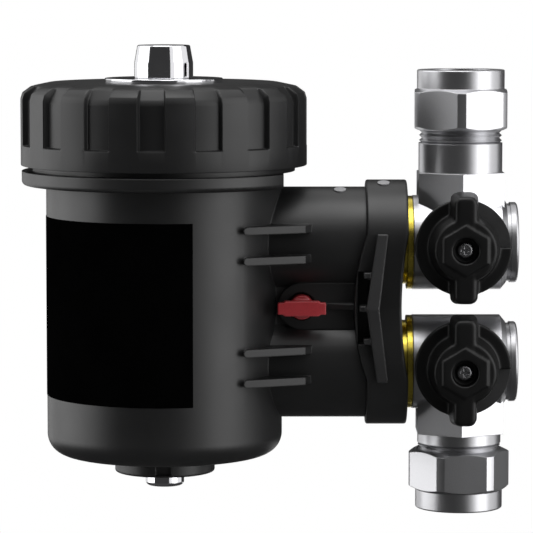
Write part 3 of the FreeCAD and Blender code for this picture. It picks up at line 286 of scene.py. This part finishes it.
def settle(piece, name):
    """Make the result of the piece's modifiers its own mesh."""
    graph = bpy.context.evaluated_depsgraph_get()
    mesh = bpy.data.meshes.new_from_object(piece.evaluated_get(graph))
    piece.modifiers.clear()
    piece.data = mesh
    mesh.name = name
    return mesh


def soften(node, voxel, rounds, name, material, body):
    """A soft-edged moulding in place of a sharp CAD part: its surface is rebuilt as a fine even
    skin, then relaxed so that every edge and inner corner gets a small radius."""
    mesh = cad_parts[node].data.copy()
    mesh.name = name
    mesh.materials.clear()
    build = bmesh.new()
    build.from_mesh(mesh)
    bmesh.ops.remove_doubles(build, verts=build.verts, dist=SAME_POINT)
    build.to_mesh(mesh)
    build.free()
    piece = bpy.data.objects.new(name, mesh)
    scene.collection.objects.link(piece)
    skin = piece.modifiers.new("skin", "REMESH")
    skin.mode = "VOXEL"
    skin.voxel_size = voxel
    skin.use_smooth_shade = True
    relax = piece.modifiers.new("relax", "SMOOTH")
    relax.factor = RELAX_STRENGTH
    relax.iterations = rounds
    finished = settle(piece, name)
    finished.materials.clear()
    finished.materials.append(material)
    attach(piece, body)
    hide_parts(node)


handle_nylon = finish("handle_nylon", (grey(0.0022), grey(0.0036)), (0.36, 0.48),
                      edge=0.0, Specular_IOR_Level=0.3)
plate_nylon = finish("plate_nylon", (grey(0.010), grey(0.022)), (0.45, 0.60), grain=0.0007, bump=0.6)
screw_steel = finish("screw_steel", (grey(0.36), grey(0.46)), (0.22, 0.34), bump=0.05, metal=1.0)
for side in ("upper", "lower"):
    wear(plate_nylon, side + "_stop_plate")
    wear(screw_steel, side + "_handle_screw")
    soften(side + "_handle", 0.0004, 7, side + "_lever_handle",
           handle_nylon, side + "_handle")

# ---------------------------------------------------------------- retaining clip
# One nylon clip slides in from the front and locks both spigots. Its spine is two leaning arms, and
# three short teeth reach from it into the flange's window.

clip_nylon = finish("clip_nylon", (grey(0.014), grey(0.020)), (0.40, 0.50), edge=0.0)
soften("retaining_clip", 0.00035, 4, "locking_clip", clip_nylon, "retaining_clip")

# ---------------------------------------------------------------- compression nuts and olives
# Hexagonal nuts for 22 mm copper pipe, forged brass with a turned collar, plated and brushed. Each
# squeezes a plain brass olive onto the pipe.

nut_nickel = finish("nut_nickel", (grey(0.50), grey(0.56)), (0.29, 0.34),
                    grain=0.00015, bump=0.03, metal=1.0, stretch=UPRIGHT_BRUSH)
for side in ("upper", "lower"):
    wear(nut_nickel, side + "_compression_nut")
    wear(spigot_brass, side + "_olive")

# ---------------------------------------------------------------- magnet unit
# A nylon sheath hangs from a nylon hanger under the lid. Inside it ring magnets and steel pole
# pieces are stacked on a steel rod, and a nut at the rod's top holds them.

magnet_nickel = finish("magnet_nickel", (grey(0.50), grey(0.60)), (0.2, 0.3), metal=1.0)
pole_steel = finish("pole_steel", (grey(0.50), grey(0.62)), (0.18, 0.3), bump=0.05, metal=1.0)
wear(canister_nylon, "magnet_hanger", "magnet_sheath")
wear(magnet_nickel, "magnets")
wear(pole_steel, "pole_pieces", "magnet_rod", "magnet_rod_nut")

# ---------------------------------------------------------------- lid
# The screw lid is moulded in black nylon: a deep skirt with sixteen finger recesses round it and a
# faceted shoulder. A rubber O-ring seals it on the canister's neck. One sector is repeated round.

lid_low, lid_high = (Vector(corner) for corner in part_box("lid"))
LID_RADIUS = (lid_high.x - lid_low.x) / 2
LID_CENTRE = Vector(((lid_low.x + lid_high.x) / 2, 0.0, lid_low.z))
LID_BORE = 0.0475
LID_HOLE = 0.00705
LID_CEILING = 0.0249
LID_TOP = 0.0297
LID_FLAT_RADIUS = 0.03
RECESSES = 16
RECESS_HALF = math.radians(5.2)
RECESS_EDGE = math.radians(0.42)
FIRST_RECESS = math.radians(-93.0)
WELD_DISTANCE = 0.00001
SHARP_ANGLE = math.radians(35)

# Stations up the lid's wall, in millimetres: how far in the surface is and how high, between the
# recesses and then in them.
wall = [((i / 1000, z / 1000), (j / 1000, y / 1000)) for i, z, j, y in (
    (0.30, 0.0, 0.30, 0.0), (0.08, 0.09, 0.08, 0.09), (0.0, 0.35, 0.0, 0.35), (0.0, 7.0, 0.0, 7.0),
    (0.0, 7.25, 0.12, 7.25), (0.0, 7.45, 0.60, 7.42), (0.0, 7.60, 1.50, 7.50), (0.0, 7.80, 1.90, 7.70),
    (0.0, 8.20, 2.00, 8.10), (0.0, 15.0, 2.00, 15.0), (0.0, 23.7, 2.00, 22.9), (0.06, 24.1, 2.06, 23.3),
    (0.62, 25.9, 2.62, 24.8), (0.80, 26.2, 2.86, 25.2), (3.55, 28.2, 4.90, 27.9), (3.90, 28.38, 5.30, 28.4),
    (5.90, 28.81, 5.90, 28.81), (9.90, 29.64, 9.90, 29.64), (10.3, 29.70, 10.3, 29.70))]
# Columns from the middle of a recess outwards: across its floor, over its edge, along the land.
half_angles = [RECESS_HALF * s for s in (0.0, 0.30, 0.60, 0.82, 0.92)]
half_angles += [RECESS_HALF + RECESS_EDGE * s for s in (-0.6, -0.3, 0.0, 0.3, 0.6, 1.0)]
half_angles += [math.pi / RECESSES * s for s in (0.62, 0.8, 1.0)]
half_angles = sorted(set(half_angles))
angles = [-a for a in reversed(half_angles[1:])] + half_angles


def recess_share(angle):
    """1 in the recess, 0 on the land, with a smooth step over the recess's edge."""
    reach = (abs(angle) - RECESS_HALF) / RECESS_EDGE
    if abs(reach) > 1:
        return 1.0 if reach < 0 else 0.0
    return 0.5 - 0.75 * reach + 0.25 * reach ** 3


# Underneath, the sector runs from the top face down the vent's hole, along the ceiling to the bore.
underside = [(LID_FLAT_RADIUS, LID_TOP), (LID_HOLE, LID_TOP), (LID_HOLE, LID_CEILING),
             (LID_BORE, LID_CEILING), (LID_BORE, 0.0)]

sector = bpy.data.meshes.new("lid_sector")
sector_build = bmesh.new()
columns = []
for angle in angles:
    share = recess_share(angle)
    outside = [(LID_RADIUS - land_in - share * (recess_in - land_in),
                land_z + share * (recess_z - land_z))
               for (land_in, land_z), (recess_in, recess_z) in wall]
    turn = angle + FIRST_RECESS
    columns.append([sector_build.verts.new((radius * math.cos(turn), radius * math.sin(turn), height))
                    for radius, height in outside + underside])
for first, second in zip(columns, columns[1:]):
    for k in range(len(first)):
        n = (k + 1) % len(first)
        sector_build.faces.new((first[k], second[k], second[n], first[n]))
sector_build.to_mesh(sector)
sector_build.free()

lid_ring = bpy.data.node_groups.new("lid_ring", "GeometryNodeTree")
sockets = {}
for name, kind in (("Geometry", "Geometry"), ("Sectors", "Int"), ("Centre", "Vector"),
                   ("Finish", "Material")):
    sockets[name] = lid_ring.interface.new_socket(name, in_out="INPUT", socket_type="NodeSocket" + kind)
lid_ring.interface.new_socket("Geometry", in_out="OUTPUT", socket_type="NodeSocketGeometry")


def add(tree, kind, **settings):
    node = tree.nodes.new(kind)
    for name, value in settings.items():
        setattr(node, name, value)
    return node


tree_in = add(lid_ring, "NodeGroupInput")
tree_out = add(lid_ring, "NodeGroupOutput")
line = add(lid_ring, "GeometryNodeMeshLine")
line.inputs["Offset"].default_value = (0, 0, 0)
index = add(lid_ring, "GeometryNodeInputIndex")
pitch = add(lid_ring, "ShaderNodeMath", operation="DIVIDE")
pitch.inputs[0].default_value = 2 * math.pi
turn_by = add(lid_ring, "ShaderNodeMath", operation="MULTIPLY")
spin = add(lid_ring, "ShaderNodeCombineXYZ")
place_sectors = add(lid_ring, "GeometryNodeInstanceOnPoints")
realise = add(lid_ring, "GeometryNodeRealizeInstances")
weld = add(lid_ring, "GeometryNodeMergeByDistance")
weld.inputs["Distance"].default_value = WELD_DISTANCE
shift = add(lid_ring, "GeometryNodeSetPosition")
paint = add(lid_ring, "GeometryNodeSetMaterial")
for source, target in (
        (tree_in.outputs["Sectors"], line.inputs["Count"]),
        (tree_in.outputs["Sectors"], pitch.inputs[1]),
        (index.outputs[0], turn_by.inputs[0]),
        (pitch.outputs[0], turn_by.inputs[1]),
        (turn_by.outputs[0], spin.inputs["Z"]),
        (line.outputs["Mesh"], place_sectors.inputs["Points"]),
        (tree_in.outputs["Geometry"], place_sectors.inputs["Instance"]),
        (spin.outputs["Vector"], place_sectors.inputs["Rotation"]),
        (place_sectors.outputs["Instances"], realise.inputs["Geometry"]),
        (realise.outputs["Geometry"], weld.inputs["Geometry"]),
        (weld.outputs["Geometry"], shift.inputs["Geometry"]),
        (tree_in.outputs["Centre"], shift.inputs["Offset"]),
        (shift.outputs["Geometry"], paint.inputs["Geometry"]),
        (tree_in.outputs["Finish"], paint.inputs["Material"]),
        (paint.outputs["Geometry"], tree_out.inputs["Geometry"])):
    lid_ring.links.new(source, target)

lid_nylon = finish("lid_nylon", (grey(0.0068), grey(0.0092)), (0.33, 0.45),
                   edge=0.0, Specular_IOR_Level=0.4)
grip_lid = bpy.data.objects.new("grip_lid", sector)
scene.collection.objects.link(grip_lid)
ring_maker = grip_lid.modifiers.new("ring", "NODES")
ring_maker.node_group = lid_ring
ring_maker[sockets["Sectors"].identifier] = RECESSES
ring_maker[sockets["Centre"].identifier] = LID_CENTRE
ring_maker[sockets["Finish"].identifier] = lid_nylon
lid_mesh = settle(grip_lid, "grip_lid")
lid_mesh.shade_smooth()
lid_mesh.set_sharp_from_angle(angle=SHARP_ANGLE)
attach(grip_lid, "lid")
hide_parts("lid")
wear(seal_rubber, "lid_oring")

# ---------------------------------------------------------------- air vent
# A chromed brass vent screws through the lid's middle, with a brass nut under the roof. Its knob
# is polished chrome with an upright outlet slot, and it opens the vent when it is turned.

vent_chrome = finish("vent_chrome", (grey(0.74), grey(0.80)), (0.04, 0.07),
                     bump=0.01, edge=0.0003, metal=1.0)
wear(vent_chrome, "vent_body", "vent_knob")
wear(spigot_brass, "vent_nut")
wear(seal_rubber, "vent_seal")

# ---------------------------------------------------------------- drain and bleed plugs
# A chromed plug with a hexagon socket closes the drain under the canister, on a rubber washer. A
# red nylon finger plug bleeds the ports between the tubes.

red_nylon = finish("red_nylon", ((0.20, 0.012, 0.016), (0.27, 0.018, 0.024)), (0.34, 0.46), edge=0.0)
wear(vent_chrome, "drain_plug")
wear(seal_rubber, "drain_washer", "bleed_seal")
soften("bleed_plug", 0.0003, 5, "bleed_key", red_nylon, "bleed_plug")
